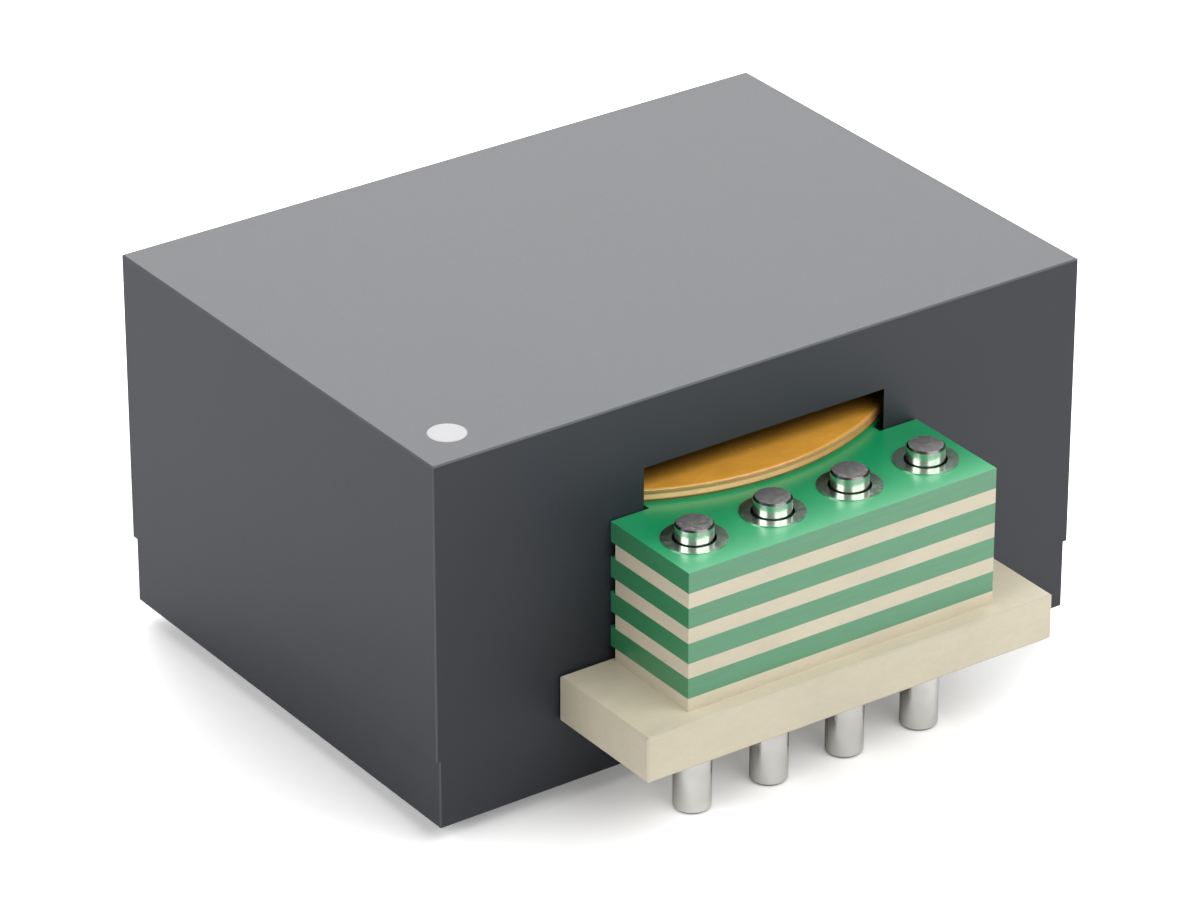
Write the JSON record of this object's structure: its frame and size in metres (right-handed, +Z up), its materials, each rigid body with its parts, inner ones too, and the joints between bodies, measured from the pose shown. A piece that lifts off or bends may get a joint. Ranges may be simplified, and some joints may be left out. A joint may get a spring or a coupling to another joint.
{
  "type": "planar transformer",
  "caption": "Low planar transformer: ferrite core round a stack of one-turn circuit boards and copper discs, with pin rows on a moulded base.",
  "frame": {"origin": "centre of the flat underside of the lower ferrite plate, on the axis of the round centre post", "axes": "+X along the long side of the core, -Y towards the primary pins, +Z up through the top of the core"},
  "size_m": [0.025, 0.0276, 0.0134],
  "materials": {
    "ferrite": "matte sintered ferrite with a ground grain",
    "moulding": "natural beige moulded plastic, satin",
    "solder_mask": "glossy green solder mask over laminate",
    "coated_turn": "glossy amber coating over stamped copper",
    "bond_film": "thin amber bonding film",
    "tinned_pad": "smooth tin over copper",
    "tinned_pin": "satin tin plating"
  },
  "bodies": {
    "root": {"upper_core": "ferrite", "lower_plate": "ferrite", "terminal_base": "moulding", "winding_board_1": "solder_mask", "winding_board_2": "solder_mask", "winding_board_3": "solder_mask", "winding_board_4": "solder_mask", "board_plating_1": "tinned_pad", "board_plating_2": "tinned_pad", "board_plating_3": "tinned_pad", "board_plating_4": "tinned_pad", "upper_film_1": "bond_film", "upper_film_2": "bond_film", "upper_film_3": "bond_film", "upper_film_4": "bond_film", "lower_film_1": "bond_film", "lower_film_2": "bond_film", "lower_film_3": "bond_film", "lower_film_4": "bond_film", "secondary_turn_1": "coated_turn", "secondary_turn_2": "coated_turn", "secondary_turn_3": "coated_turn", "secondary_turn_4": "coated_turn", "secondary_turn_5": "coated_turn", "front_spacer_1": "moulding", "front_spacer_2": "moulding", "front_spacer_3": "moulding", "rear_spacer_1": "moulding", "rear_spacer_2": "moulding", "rear_spacer_3": "moulding", "rear_spacer_4": "moulding", "primary_pin_1": "tinned_pin", "primary_pin_2": "tinned_pin", "primary_pin_3": "tinned_pin", "primary_pin_4": "tinned_pin", "secondary_pin_1": "tinned_pin", "secondary_pin_2": "tinned_pin", "secondary_pin_3": "tinned_pin", "secondary_pin_4": "tinned_pin"}
  },
  "joints": []
}
